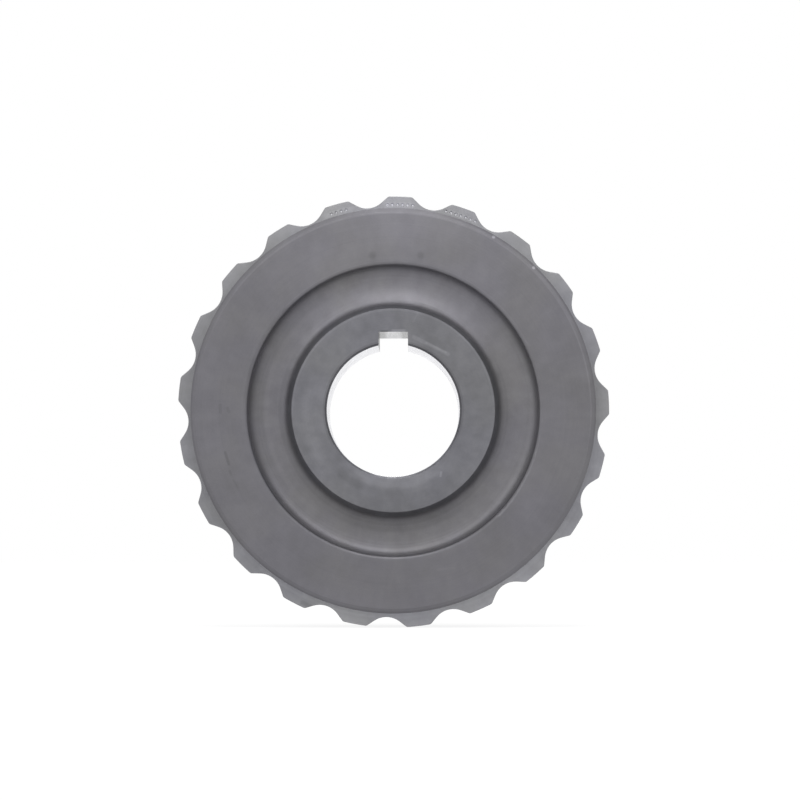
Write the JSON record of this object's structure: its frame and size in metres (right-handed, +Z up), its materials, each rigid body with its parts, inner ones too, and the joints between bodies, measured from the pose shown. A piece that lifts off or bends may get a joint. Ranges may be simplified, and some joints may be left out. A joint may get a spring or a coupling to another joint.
{
  "type": "timing belt pulley",
  "caption": "Toothed belt pulley with round-bottomed grooves, a bevelled front disc, a dished web and a keyed hub bore.",
  "frame": {"origin": "on the shaft axis, halfway along the bore", "axes": "+Y along the shaft axis from the front face to the rear, +Z up through the keyway, +X to the right seen from the front"},
  "size_m": [0.1179, 0.04, 0.1179],
  "materials": {
    "hub_steel": "finely turned, darkened",
    "web_steel": "satin, darkened",
    "disc_steel": "turned, darkened",
    "tooth_steel": "satin, lighter grey",
    "screw_steel": "black oxide",
    "pin_steel": "ground, bright"
  },
  "bodies": {
    "root": {"hub": "hub_steel", "web": "web_steel", "rim": "disc_steel", "toothed_ring": "tooth_steel", "rear_ring": "disc_steel", "ring_screws": "screw_steel", "ring_dowels": "pin_steel", "hub_pins": "pin_steel", "rim_pins": "pin_steel"}
  },
  "joints": []
}
